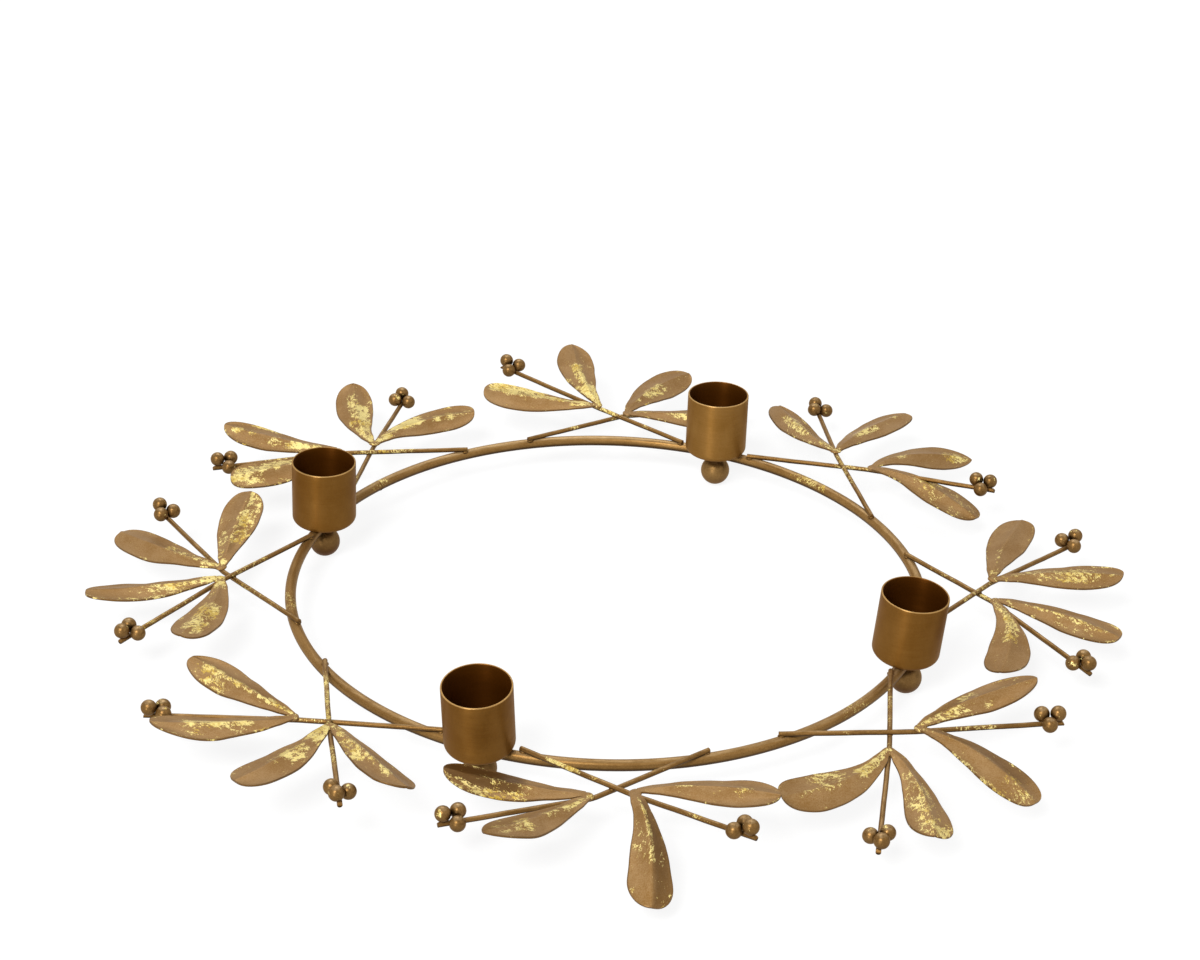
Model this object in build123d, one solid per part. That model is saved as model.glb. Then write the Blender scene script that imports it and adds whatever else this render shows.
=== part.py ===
"""Candle ring: a rod ring on ball feet that carries candle cups and eight sprays of leaves and berries."""

import os
from collections import namedtuple
from math import atan2, cos, degrees, pi, radians, sin, sqrt, tan

from build123d import *

os.makedirs("parts", exist_ok=True)

# Rod ring, measured on the rod's centre line
RING_RADIUS = 115.0
ROD_DIAMETER = 4.0

# How deep a welded piece beds onto the piece that carries it
WELD_BED = 0.2

# Ball feet, with a small flat worn underneath
BALL_DIAMETER = 11.4
FOOT_FLAT = 2.6

# Candle cups for thin dinner candles
CUP_BORE = 22.6
CUP_WALL = 0.7
CUP_BOTTOM = 0.9
CUP_HEIGHT = 24.9
CUP_CORNER = 2.5

# Where each cup stands on the ring and how far it leans outward, in degrees
CUP_ANGLES = (68.5, 159.5, 249.5, 337.5)
CUP_LEANS = (1.0, -1.0, 6.5, 4.5)

# How far inside the rod's centre line each cup was set down
CUP_SETBACKS = (1.0, 0.0, 0.0, 1.2)

# Twig wire: cut end past the rod's crest, bend at the leaves, length out to the berries
STEM_DIAMETER = 1.8
STEM_TAIL = 1.0
STEM_BEND = 12.0
STEM_OUTER = 46.5
STEM_TIP = 5.0
TIP_BEVEL = 45.0

# Room between a cup's wall and the wire welded beside it
CUP_CLEARANCE = 1.0

# Berries, three balls bedded on the end of a stem
BERRY_DIAMETER = 5.4
BERRY_GAP = 0.05

# Stamped leaves, two on one root
LEAF_LENGTH = 47.5
LEAF_WIDTH = 15.6
LEAF_NECK = 2.6
LEAF_SHEET = 0.7
LEAF_BROADEST = 0.72
LEAF_FOLD = 17.0
LEAF_SPRING = 7.0
LEAF_BOW = 2.5

# Round root that joins two leaves: its place past the stem's bend, how far the necks stand apart, its rim
ROOT_PLACE = 2.1
ROOT_SPREAD = 2.0
ROOT_RIM = 0.3

# Values that follow from the ones above
ROD_RADIUS = ROD_DIAMETER / 2
BALL_RADIUS = BALL_DIAMETER / 2
STEM_RADIUS = STEM_DIAMETER / 2
BERRY_RADIUS = BERRY_DIAMETER / 2
CUP_RADIUS = CUP_BORE / 2 + CUP_WALL
BALL_HEIGHT = sqrt(BALL_RADIUS**2 - (FOOT_FLAT / 2) ** 2)
RING_HEIGHT = BALL_HEIGHT + BALL_RADIUS + ROD_RADIUS - WELD_BED
STEM_HEIGHT = RING_HEIGHT + ROD_RADIUS + STEM_RADIUS - WELD_BED
BESIDE_CUP = degrees((CUP_RADIUS + STEM_RADIUS + CUP_CLEARANCE) / RING_RADIUS)

# A leaf's tip aside of its stem, lift above level, twist towards the tip, fold and sideways bow of its midrib
Leaf = namedtuple("Leaf", "splay lift twist fold bow", defaults=(0.0, LEAF_FOLD, LEAF_BOW))

# A stem: ring angle of its cut end, ring angle of its leaf root and its reach past the rod, and the bend there
Stem = namedtuple("Stem", "foot root reach turn lift spin left right")


def beside(cup, side):
    """Ring angle of a wire welded next to a cup, on its clockwise (-1) or counter-clockwise (1) side."""
    return CUP_ANGLES[cup] + side * BESIDE_CUP


# Each spray has a lower stem that heads clockwise and an upper stem that crosses over it
SPRAYS = (
    (
        Stem(13, -3, 25, -5, -4, 5, Leaf(24, 1), Leaf(-41, 0)),
        Stem(beside(3, 1), 1, 25, -4, -2, 5, Leaf(27, 0, bow=1), Leaf(-41, 2)),
    ),
    (
        Stem(beside(0, -1), 42, 22, -12, 3, 34, Leaf(50, -8), Leaf(-14, -7)),
        Stem(28, 48, 19, -8, -6, 17, Leaf(20, -3), Leaf(-46, -1, twist=-10)),
    ),
    (
        Stem(107, 88, 17, -12, -4, 10, Leaf(39, -1), Leaf(-25, 0)),
        Stem(beside(0, 1), 92, 19, 0, 4, -11, Leaf(23, 1, bow=4), Leaf(-41, 6)),
    ),
    (
        Stem(beside(1, -1), 134, 21, -1, -4, 13, Leaf(25, 4), Leaf(-44, 1, bow=5)),
        Stem(120, 140, 23, 8, 1, -20, Leaf(17, 3), Leaf(-34, 5, twist=10)),
    ),
    (
        Stem(198, 181, 25, -8, 2, 7, Leaf(23, -1), Leaf(-42, 7, bow=1)),
        Stem(beside(1, 1), 184.5, 24, 0, -2, -10, Leaf(28, 6), Leaf(-39, 1, twist=12)),
    ),
    (
        Stem(beside(2, -1), 224, 26, 5, 1, 9, Leaf(18, 8, twist=10, bow=1.5), Leaf(-39, 5, twist=15, bow=0.5)),
        Stem(212, 229, 23, 2, 5, -17, Leaf(27, 4, twist=-12, bow=-1), Leaf(-43, 6, bow=3)),
    ),
    (
        Stem(288, 269, 23, -19, 0, -17, Leaf(29, 12, bow=0), Leaf(-30, 4, twist=10)),
        Stem(beside(2, 1), 274, 23, -4, 9, 0, Leaf(27, 10), Leaf(-43, -12, fold=32)),
    ),
    (
        Stem(beside(3, -1), 312, 27, -3, -5, 13, Leaf(21, 0), Leaf(-43, 2, twist=-8, bow=5)),
        Stem(301, 317, 27, 8, 0, 15, Leaf(20, 8, twist=-12), Leaf(-51, -8)),
    ),
)


def polar(angle, radius, height):
    """Point at a ring angle, a radius from the ring's axis and a height above the floor."""
    return Vector(radius * cos(radians(angle)), radius * sin(radians(angle)), height)


def aim(heading, rise):
    """Unit direction with a compass heading in plan and a rise above level, both in degrees."""
    level = cos(radians(rise))
    return Vector(level * cos(radians(heading)), level * sin(radians(heading)), sin(radians(rise)))


def save(shape, name):
    shape.label = name
    export_step(shape, f"parts/{name}.step")


def make_cup():
    """Drawn cup standing on its bottom, with a rounded bottom edge inside and out."""
    inner_corner = max(CUP_CORNER - CUP_WALL, CUP_WALL)
    outside = Cylinder(CUP_RADIUS, CUP_HEIGHT, align=(Align.CENTER, Align.CENTER, Align.MIN))
    outside = fillet(outside.edges().group_by(Axis.Z)[0], CUP_CORNER)
    hollow = Pos(0, 0, CUP_BOTTOM) * Cylinder(
        CUP_BORE / 2, CUP_HEIGHT, align=(Align.CENTER, Align.CENTER, Align.MIN)
    )
    hollow = fillet(hollow.edges().group_by(Axis.Z)[0], inner_corner)
    return outside - hollow


def make_ball_foot():
    """Ball cut flat where it stands on the floor."""
    floor = Box(BALL_DIAMETER, BALL_DIAMETER, BALL_DIAMETER, align=(Align.CENTER, Align.CENTER, Align.MAX))
    return Pos(0, 0, BALL_HEIGHT) * Rot(90, 0, 0) * Sphere(BALL_RADIUS) - floor


def crossing(foot, root, other_foot, other_root):
    """Distance along the plan line foot-root at which it meets the line of the other stem."""
    along = root - foot
    other = other_root - other_foot
    gap = other_foot - foot
    share = (gap.X * other.Y - gap.Y * other.X) / (along.X * other.Y - along.Y * other.X)
    return share * along.length


def stem_line(stem, foot, root):
    """Heading and outer direction of a stem whose cut end and leaf root are known."""
    inner = root - foot
    heading = degrees(atan2(inner.Y, inner.X)) + stem.turn
    return heading, aim(heading, stem.lift)


def make_stem(foot, root, outward):
    """Wire from its cut end to the leaf root, bent there, and on past the berries to a bevelled tip."""
    inward = (root - foot).normalized()
    tip = root + outward * (STEM_OUTER + STEM_TIP)
    bend = radians(inward.get_angle(outward))
    trim = STEM_BEND * tan(bend / 2)
    first = root - inward * trim
    last = root + outward * trim
    arc = TangentArc(first, last, tangent=inward)
    path = Wire([Line(foot, first).edge(), arc.edge(), Line(last, tip).edge()])
    wire = sweep(Plane(origin=foot, z_dir=inward) * Circle(STEM_RADIUS), path=path)
    bevel = Plane(origin=tip, x_dir=Vector(-outward.Y, outward.X, 0), z_dir=outward)
    cutter = Box(STEM_TIP, STEM_TIP, STEM_TIP, align=(Align.CENTER, Align.CENTER, Align.MIN))
    return wire - bevel.location * Rot(TIP_BEVEL, 0, 0) * cutter


def half_width(share):
    """Half the leaf's width at a share of its length: a slow rise from the neck, then a round tip."""
    neck = LEAF_NECK / 2
    broad = LEAF_WIDTH / 2
    if share <= LEAF_BROADEST:
        return neck + (broad - neck) * (1 - cos(pi * share / LEAF_BROADEST)) / 2
    past = (share - LEAF_BROADEST) / (1 - LEAF_BROADEST)
    return broad * sqrt(1 - past**2)


def fold_at(share, fold):
    """Fold of each half at a share of the length: none at the root, full along the blade, fading at the tip."""
    start = min(1.0, share / 0.25)
    finish = 1 - 0.6 * max(0.0, (share - 0.6) / 0.4)
    return radians(fold) * start * finish


# Shares of a leaf's length at which its section is drawn, closer together around the tip
LEAF_STATIONS = [LEAF_BROADEST * step / 6 for step in range(7)]
LEAF_STATIONS += [LEAF_BROADEST + (1 - LEAF_BROADEST) * part for part in (0.25, 0.5, 0.68, 0.82, 0.92, 0.972)]


def make_leaf(base, root, seat, heading, leaf):
    """Creased leaf that springs from its root and bends to its tip, a leaf's length from the pair's base."""
    tip = base + aim(heading, leaf.lift) * LEAF_LENGTH
    flat = aim(heading, 0)
    start = (flat - seat * flat.dot(seat)).normalized() + seat * tan(radians(LEAF_SPRING))
    aside = seat.cross(flat).normalized()
    middle = root + start.normalized() * (0.4 * LEAF_LENGTH) + aside * (2 * leaf.bow)
    sections = []
    for share in LEAF_STATIONS:
        rest = 1 - share
        point = root * rest**2 + middle * (2 * share * rest) + tip * share**2
        along = ((middle - root) * rest + (tip - middle) * share).normalized()
        side = (seat * rest + Vector(0, 0, 1) * share).cross(along).normalized()
        side = side.rotate(Axis((0, 0, 0), along), leaf.twist * share)
        up = along.cross(side)
        reach = half_width(share)
        angle = fold_at(share, leaf.fold)
        out = side * (reach * cos(angle))
        drop = up * (reach * sin(angle))
        sheet = up * LEAF_SHEET
        corners = [point, point + out - drop, point + out - drop + sheet]
        corners += [point + sheet, point - out - drop + sheet, point - out - drop]
        sections.append(Wire.make_polygon(corners, close=True))
    return Solid.make_loft(sections)


def make_leaf_pair(stem, root, heading, outward):
    """Two leaves on one round root that beds on top of the stem just past its bend."""
    left = Vector(-sin(radians(heading)), cos(radians(heading)), 0)
    seat = outward.cross(left).normalized()
    base = root + outward * ROOT_PLACE + seat * (STEM_RADIUS - WELD_BED)
    pair = Plane(origin=base, z_dir=seat) * Cylinder(
        (ROOT_SPREAD + LEAF_NECK) / 2 + ROOT_RIM,
        LEAF_SHEET + 2 * ROOT_RIM,
        align=(Align.CENTER, Align.CENTER, Align.MIN),
    )
    for leaf, sense in ((stem.left, 1), (stem.right, -1)):
        neck = base + seat * ROOT_RIM + left * (sense * ROOT_SPREAD / 2)
        pair = pair + make_leaf(base, neck, seat, heading + leaf.splay, leaf)
    return pair


def make_berries(stem, root, heading, outward, wire):
    """Three balls around the stem's end, each bedded on the wire."""
    left = Vector(-sin(radians(heading)), cos(radians(heading)), 0)
    up = outward.cross(left).normalized()
    centre = root + outward * STEM_OUTER
    spread = (BERRY_DIAMETER + BERRY_GAP) / sqrt(3)
    reach = BERRY_RADIUS + STEM_RADIUS - WELD_BED
    balls = []
    for turn in (0, 120, 240):
        angle = radians(stem.spin + turn)
        aside = spread * sin(angle)
        spot = centre + outward * (spread * cos(angle)) + left * aside + up * sqrt(reach**2 - aside**2)
        ball = Pos(spot) * Rot(90, 0, 0) * Sphere(BERRY_RADIUS) - wire
        balls += ball.solids()
    return Compound(children=balls)


ring = Pos(0, 0, RING_HEIGHT) * Torus(RING_RADIUS, ROD_RADIUS)
save(ring, "ring")

for number, (angle, lean, setback) in enumerate(zip(CUP_ANGLES, CUP_LEANS, CUP_SETBACKS), start=1):
    station = Rot(0, 0, angle) * Pos(RING_RADIUS, 0, 0)
    ball_foot = station * make_ball_foot() - ring
    save(ball_foot, f"ball_foot_{number}")
    upright = station * Pos(0, 0, RING_HEIGHT) * Rot(0, lean, 0)
    cup = upright * Pos(-setback, 0, ROD_RADIUS - WELD_BED) * make_cup() - ring
    save(cup, f"candle_cup_{number}")

for number, (lower, upper) in enumerate(SPRAYS, start=1):
    lower_foot = polar(lower.foot, RING_RADIUS - STEM_TAIL, STEM_HEIGHT)
    lower_root = polar(lower.root, RING_RADIUS + lower.reach, STEM_HEIGHT)
    upper_foot = polar(upper.foot, RING_RADIUS - STEM_TAIL, STEM_HEIGHT)
    upper_level = polar(upper.root, RING_RADIUS + upper.reach, STEM_HEIGHT)
    run = crossing(upper_foot, upper_level, lower_foot, lower_root)
    climb = (STEM_DIAMETER - WELD_BED) / run
    upper_root = upper_level + Vector(0, 0, climb * (upper_level - upper_foot).length)

    wires = []
    for place, stem, foot, root in (
        ("lower", lower, lower_foot, lower_root),
        ("upper", upper, upper_foot, upper_root),
    ):
        heading, outward = stem_line(stem, foot, root)
        wire = make_stem(foot, root, outward) - ring
        for below in wires:
            wire = wire - below
        wires.append(wire)
        leaves = make_leaf_pair(stem, root, heading, outward)
        for other in wires:
            leaves = leaves - other
        save(wire, f"spray_{number}_{place}_stem")
        save(leaves, f"spray_{number}_{place}_leaves")
        save(make_berries(stem, root, heading, outward, wire), f"spray_{number}_{place}_berries")
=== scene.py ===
"""Looks of the candle ring: painted rod, cups, twigs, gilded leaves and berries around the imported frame."""

from collections import namedtuple
from math import asin, atan2, cos, degrees, hypot, pi, radians, sin, sqrt, tan

import bmesh
import bpy
from mathutils import Matrix, Vector, noise


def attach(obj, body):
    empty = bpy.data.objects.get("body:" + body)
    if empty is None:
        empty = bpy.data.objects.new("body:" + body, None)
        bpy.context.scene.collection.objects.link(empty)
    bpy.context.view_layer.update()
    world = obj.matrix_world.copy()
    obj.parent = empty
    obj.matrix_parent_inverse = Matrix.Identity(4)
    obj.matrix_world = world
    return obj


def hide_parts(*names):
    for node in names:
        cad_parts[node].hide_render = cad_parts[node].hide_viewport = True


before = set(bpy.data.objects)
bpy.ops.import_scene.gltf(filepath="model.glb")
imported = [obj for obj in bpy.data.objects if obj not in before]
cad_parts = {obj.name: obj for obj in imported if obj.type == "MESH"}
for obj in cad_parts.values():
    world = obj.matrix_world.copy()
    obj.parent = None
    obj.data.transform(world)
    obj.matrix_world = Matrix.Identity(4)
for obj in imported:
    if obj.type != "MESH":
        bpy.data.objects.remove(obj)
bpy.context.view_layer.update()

MM = 0.001
UP = Vector((0, 0, 1))

# Rod ring and the weld that closes it
RING_RADIUS = 115.0 * MM
ROD_RADIUS = 2.0 * MM
RING_WELD_ANGLE = 141.5

# How deep a welded piece beds onto the piece that carries it
WELD_BED = 0.2 * MM

# Ball feet, and how much painted shadow of the cup above lies on each
BALL_RADIUS = 5.7 * MM
FOOT_FLAT_RADIUS = 1.3 * MM
BALL_TOP = 86.0
BALL_CUP_SHADOWS = (0.0, 0.4, 0.32, 0.28)

# Candle cups: size, then angle on the ring, outward lean and setback of each
CUP_BORE_RADIUS = 11.3 * MM
CUP_WALL = 0.7 * MM
CUP_BOTTOM = 0.9 * MM
CUP_HEIGHT = 24.9 * MM
CUP_CORNER = 2.5 * MM
CUP_ANGLES = (68.5, 159.5, 249.5, 337.5)
CUP_LEANS = (1.0, -1.0, 6.5, 4.5)
CUP_SETBACKS = (1.0 * MM, 0.0, 0.0, 1.2 * MM)
CUP_CLEARANCE = 1.0 * MM

# Twig wire
STEM_RADIUS = 0.9 * MM
STEM_TAIL = 1.0 * MM
STEM_BEND = 12.0 * MM
STEM_OUTER = 46.5 * MM
STEM_TIP = 5.0 * MM
TIP_BEVEL = 45.0

# Berries
BERRY_RADIUS = 2.7 * MM
BERRY_GAP = 0.05 * MM

# Stamped leaves: outline and sheet
LEAF_LENGTH = 47.5 * MM
LEAF_HALF = 7.8 * MM
LEAF_BROADEST = 0.72
LEAF_SHEET = 0.7 * MM
NECK_HALF = 1.3 * MM
NECK_FLARE = 1.0 * MM
NECK_END = 0.12
TIP_SKEW = 2.2 * MM
SKEW_START = LEAF_BROADEST / 2
EDGE_WANDER = 0.05
EDGE_ROUNDING = 0.12 * MM

# How a leaf springs from its root, bends, folds along its crease and is hollowed and dented
LEAF_SPRING = 7.0
LEAF_BEND = 0.4
FOLD_FULL = 0.25
FOLD_FADE = 0.6
FOLD_LOSS = 0.6
CREASE_SOFTNESS = 0.09
LEAF_CUPPING = 0.3
LEAF_WAVE = 0.3 * MM

# Where the two leaves of a stamped V meet on their wire
ROOT_PLACE = 2.1 * MM
ROOT_SPREAD = 2.0 * MM
ROOT_RIM = 0.3 * MM

# Weld beads: half sizes on wires, balls, cups and the ring's own joint
WIRE_BEAD = (1.2 * MM, 1.2 * MM, 0.55 * MM)
BALL_BEAD = (2.0 * MM, 2.6 * MM, 0.7 * MM)
CUP_BEAD = (2.4 * MM, 4.6 * MM, 0.5 * MM)
RING_BEAD = (2.12 * MM, 0.9 * MM, 2.12 * MM)
CUP_BEAD_SINK = 0.15 * MM

# How large a wire's bead is at a crossing and at its foot, and how far below the wire's axis it lies there
CROSSING_SHARE = 0.9
FOOT_SHARE = 1.1
FOOT_DROP = 0.9

# Values that follow
CUP_RADIUS = CUP_BORE_RADIUS + CUP_WALL
BALL_HEIGHT = sqrt(BALL_RADIUS**2 - FOOT_FLAT_RADIUS**2)
RING_HEIGHT = BALL_HEIGHT + BALL_RADIUS + ROD_RADIUS - WELD_BED
STEM_HEIGHT = RING_HEIGHT + ROD_RADIUS + STEM_RADIUS - WELD_BED
BESIDE_CUP = degrees((CUP_RADIUS + STEM_RADIUS + CUP_CLEARANCE) / RING_RADIUS)

# A leaf's tip aside of its stem, lift above level, twist, fold in degrees and sideways bow in millimetres
Leaf = namedtuple("Leaf", "splay lift twist fold bow", defaults=(0.0, 17.0, 2.5))

# A stem: ring angle of its cut end, ring angle of its leaf root and reach past the rod, and the bend there
Stem = namedtuple("Stem", "foot root reach turn lift spin left right")

# The form of a leaf: share of its length where it is broadest, how blunt its tip is, and how far it is askew
Form = namedtuple("Form", "broadest tip skew", defaults=(None,))
ROUND = Form(LEAF_BROADEST, 2.1)
POINTED = Form(LEAF_BROADEST, 1.6)
BLUNT = Form(LEAF_BROADEST, 2.6)
CLUB = Form(0.84, 2.2)
COMMA = Form(0.76, 2.2, -1.3)

# A gilded streak on a leaf: from and to along its length, place and breadth across it, and how dense it is
Streak = namedtuple("Streak", "start end across breadth dense")

# A surface: its points and faces, and for each point its brush place, gilding, painted shade and painted
# highlight
Surface = namedtuple("Surface", "points faces places gilding shade wear")


def beside(cup, side):
    """Ring angle of a wire welded next to a cup, on its clockwise (-1) or counter-clockwise (1) side."""
    return CUP_ANGLES[cup] + side * BESIDE_CUP


# Each spray has a lower stem that heads clockwise and an upper stem that crosses over it
SPRAYS = (
    (
        Stem(13, -3, 25, -5, -4, 5, Leaf(24, 1), Leaf(-41, 0, bow=5)),
        Stem(beside(3, 1), 1, 25, -4, -2, 5, Leaf(27, 0, bow=1), Leaf(-41, 2, 5)),
    ),
    (
        Stem(beside(0, -1), 42, 22, -12, 3, 34, Leaf(50, -8, 14), Leaf(-14, -7)),
        Stem(28, 48, 19, -8, -6, 17, Leaf(20, -3, 14), Leaf(-46, -1, -10)),
    ),
    (
        Stem(107, 88, 17, -12, -4, 10, Leaf(39, -1, 14), Leaf(-25, 0)),
        Stem(beside(0, 1), 92, 19, 0, 4, -11, Leaf(23, 1, -14, bow=4), Leaf(-41, 6)),
    ),
    (
        Stem(beside(1, -1), 134, 21, -1, -4, 13, Leaf(25, 4), Leaf(-44, 1, 12, bow=5)),
        Stem(120, 140, 23, 8, 1, -20, Leaf(17, 3, -14), Leaf(-34, 5, -4)),
    ),
    (
        Stem(198, 181, 25, -8, 2, 7, Leaf(23, -1, -6), Leaf(-42, 7, bow=1)),
        Stem(beside(1, 1), 184.5, 24, 0, -2, -10, Leaf(28, 6), Leaf(-39, 1, twist=12)),
    ),
    (
        Stem(beside(2, -1), 224, 26, 5, 1, 9, Leaf(18, 8, 5, bow=1.5), Leaf(-39, 5, 3, bow=0.5)),
        Stem(212, 229, 23, 2, 5, -17, Leaf(27, 4, -28, bow=-1), Leaf(-43, 6, 5, bow=3)),
    ),
    (
        Stem(288, 269, 23, -19, 0, -17, Leaf(29, 12, 4, bow=0), Leaf(-30, 4, 2)),
        Stem(beside(2, 1), 274, 23, -4, 9, 0, Leaf(27, 10), Leaf(-43, -12, -12, fold=32)),
    ),
    (
        Stem(beside(3, -1), 312, 27, -3, -5, 13, Leaf(21, 0, -10, fold=27), Leaf(-43, 2, -20, bow=5)),
        Stem(301, 317, 27, 8, 0, 15, Leaf(20, 8, -6), Leaf(-51, -8)),
    ),
)

# Gilding of each leaf, as its streaks: start and end share of the length, place across with left at +1,
# breadth and density
GILDING = {
    "1 lower left": (
        (0, 0.12, 0, 0.5, 0.6), (0.2, 0.9, 0, 0.1, 0.8), (0.5, 0.9, -0.3, 0.4, 0.42),
        (0.75, 1, -0.9, 0.15, 0.5),
    ),
    "1 lower right": ((0, 0.15, 0, 0.6, 0.7), (0.12, 0.45, 0.2, 0.45, 0.85), (0.45, 0.62, 0.05, 0.3, 0.8)),
    "1 upper left": ((0, 0.1, 0, 0.6, 0.7), (0.2, 0.5, 0.05, 0.1, 0.7), (0.4, 0.8, 0.92, 0.1, 0.45)),
    "1 upper right": (
        (0, 0.1, 0, 0.5, 0.6), (0.15, 0.4, 0.2, 0.4, 0.55), (0.38, 0.82, 0, 0.6, 0.66),
        (0.8, 1, 0, 0.12, 0.6),
    ),
    "2 lower left": ((0.25, 0.4, 0, 0.25, 0.6), (0.8, 0.96, 0, 0.45, 0.8)),
    "2 lower right": ((0.42, 0.62, 0.4, 0.4, 0.85), (0.55, 0.95, 0, 0.8, 0.42)),
    "2 upper left": ((0, 0.2, 0, 0.6, 0.8), (0.2, 0.5, 0.85, 0.15, 0.7), (0.4, 0.76, 0, 0.4, 0.8)),
    "2 upper right": ((0, 0.08, 0, 0.5, 0.6), (0.38, 0.62, 0, 0.3, 0.8), (0.82, 0.9, 0.1, 0.15, 0.6)),
    "3 lower left": ((0.2, 0.32, -0.2, 0.2, 0.6), (0.38, 0.65, -0.15, 0.35, 0.75), (0.82, 0.9, 0, 0.12, 0.5)),
    "3 lower right": ((0.05, 0.3, 0.3, 0.3, 0.6), (0.4, 0.6, 0, 0.4, 0.75)),
    "3 upper left": ((0, 0.25, 0, 0.5, 0.8), (0.05, 0.95, -0.35, 0.3, 0.95), (0.5, 0.95, -0.75, 0.3, 0.9)),
    "3 upper right": (
        (0, 0.35, 0, 0.8, 1), (0.3, 0.68, 0.05, 0.22, 0.95), (0.2, 0.5, 0.85, 0.12, 0.7),
        (0.72, 0.8, -0.35, 0.1, 0.5),
    ),
    "4 lower left": (
        (0, 0.3, -0.1, 0.7, 0.9), (0.2, 0.7, -0.35, 0.4, 0.9), (0.45, 0.85, 0.1, 0.2, 0.85),
        (0.15, 0.45, 0.45, 0.25, 0.7), (0.6, 0.9, -0.85, 0.12, 0.5),
    ),
    "4 lower right": (
        (0, 0.2, 0, 0.7, 0.9), (0.15, 0.5, 0, 0.2, 0.8), (0.28, 0.58, 0.4, 0.45, 1.15),
        (0.66, 0.95, 0.05, 0.25, 0.75),
    ),
    "4 upper left": (
        (0.1, 0.35, -0.3, 0.4, 0.7), (0.35, 0.8, -0.4, 0.4, 0.8), (0.8, 1, 0, 0.7, 0.85),
        (0.5, 1, 0.9, 0.15, 0.5),
    ),
    "4 upper right": (
        (0.15, 0.45, 0.1, 0.5, 0.85), (0.5, 0.58, 0.1, 0.4, 0.6), (0.75, 0.92, 0, 0.25, 0.7),
        (0.75, 1, 0.9, 0.12, 0.6),
    ),
    "5 lower left": (
        (0, 0.15, -0.1, 0.6, 0.9), (0.12, 0.55, -0.3, 0.35, 0.66), (0.33, 0.42, -0.1, 0.3, 0.6),
        (0.92, 1, -0.6, 0.3, 0.5),
    ),
    "5 lower right": (
        (0, 0.08, 0, 0.6, 0.8), (0.1, 0.5, 0.55, 0.3, 0.58), (0.35, 0.85, -0.4, 0.38, 0.72),
        (0.85, 1, -0.5, 0.3, 0.8),
    ),
    "5 upper left": ((0, 0.15, 0, 0.7, 0.9), (0.15, 0.45, -0.4, 0.3, 0.45), (0.48, 0.92, 0.05, 0.5, 0.78)),
    "5 upper right": (
        (0, 0.12, 0, 1, 1), (0.1, 0.6, 0.1, 0.35, 0.8), (0.3, 0.55, 0.7, 0.35, 0.6),
        (0.5, 1, 0.92, 0.12, 0.65),
    ),
    "6 lower left": (
        (0.35, 0.8, -0.05, 0.3, 0.85), (0.4, 0.5, 0.5, 0.3, 0.6), (0.7, 0.8, 0.4, 0.3, 0.6),
        (0.45, 1, 0.92, 0.1, 0.5),
    ),
    "6 lower right": (
        (0, 0.3, -0.1, 0.35, 0.85), (0.2, 0.9, 0, 0.13, 0.95), (0.7, 0.9, 0.1, 0.2, 0.85),
        (0.6, 0.85, 0.6, 0.25, 0.75),
    ),
    "6 upper left": (
        (0, 0.1, 0, 0.6, 0.8), (0.1, 0.45, -0.2, 0.45, 0.72), (0.3, 0.85, 0, 0.2, 0.82),
        (0.45, 0.6, -0.6, 0.3, 0.8),
    ),
    "6 upper right": (
        (0, 0.25, 0, 0.9, 1), (0.38, 0.6, 0.1, 0.5, 0.85), (0.55, 0.72, -0.1, 0.2, 0.6),
        (0.8, 1, -0.9, 0.15, 0.5),
    ),
    "7 lower left": ((0, 0.3, 0.1, 0.35, 0.8), (0.35, 0.5, -0.05, 0.2, 0.8), (0.6, 0.9, 0, 0.5, 0.6)),
    "7 lower right": ((0.45, 1, 0.75, 0.3, 0.7), (0.5, 0.75, 0, 0.2, 0.6), (0.4, 0.47, 0.1, 0.15, 0.6)),
    "7 upper left": ((0.3, 0.48, 0.05, 0.1, 0.8), (0.65, 0.85, 0.1, 0.12, 0.75)),
    "7 upper right": (
        (0.1, 0.72, 0.08, 0.1, 0.95), (0.35, 0.72, -0.5, 0.4, 0.42), (0.6, 0.72, 0.7, 0.15, 0.5),
    ),
    "8 lower left": ((0.3, 0.7, -0.45, 0.35, 0.62), (0.45, 1, 0, 0.5, 0.62), (0.85, 1, 0.2, 0.8, 0.75)),
    "8 lower right": (
        (0, 0.4, -0.1, 0.4, 0.85), (0.5, 0.75, -0.7, 0.25, 0.75), (0.5, 0.72, -0.1, 0.25, 0.6),
        (0.75, 0.92, 0.05, 0.07, 0.8),
    ),
    "8 upper left": (
        (0, 0.25, -0.1, 0.4, 0.72), (0.2, 0.44, -0.45, 0.4, 0.72), (0.45, 0.6, 0.5, 0.3, 0.66),
        (0.6, 0.66, -0.55, 0.12, 0.8), (0.7, 0.9, 0.1, 0.1, 0.5),
    ),
    "8 upper right": (
        (0, 0.12, 0, 0.5, 0.6), (0.15, 0.6, 0.05, 0.08, 0.5), (0.35, 1, -0.95, 0.07, 0.8),
        (0.76, 0.98, -0.25, 0.45, 0.56),
    ),
}

# Leaves that came out blunter, more pointed or more like a club or a comma than the others, which are
# round, and those whose tip is askew by another amount
FORMS = {
    "1 lower left": BLUNT,
    "1 lower right": COMMA,
    "1 upper left": BLUNT,
    "1 upper right": BLUNT,
    "2 lower left": POINTED,
    "2 lower right": BLUNT,
    "2 upper right": BLUNT,
    "3 upper left": BLUNT,
    "4 lower right": BLUNT,
    "4 upper left": BLUNT,
    "5 lower left": BLUNT,
    "5 lower right": BLUNT._replace(skew=0.4),
    "5 upper left": BLUNT._replace(skew=0.5),
    "5 upper right": BLUNT,
    "6 lower left": ROUND._replace(skew=-1.3),
    "6 upper left": CLUB._replace(skew=0.2),
    "6 upper right": BLUNT._replace(skew=0.3),
    "7 lower left": POINTED._replace(skew=-0.4),
    "7 upper right": CLUB,
    "8 lower left": CLUB._replace(skew=0.3),
    "8 lower right": BLUNT._replace(skew=-0.8),
    "8 upper right": BLUNT,
}
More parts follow.
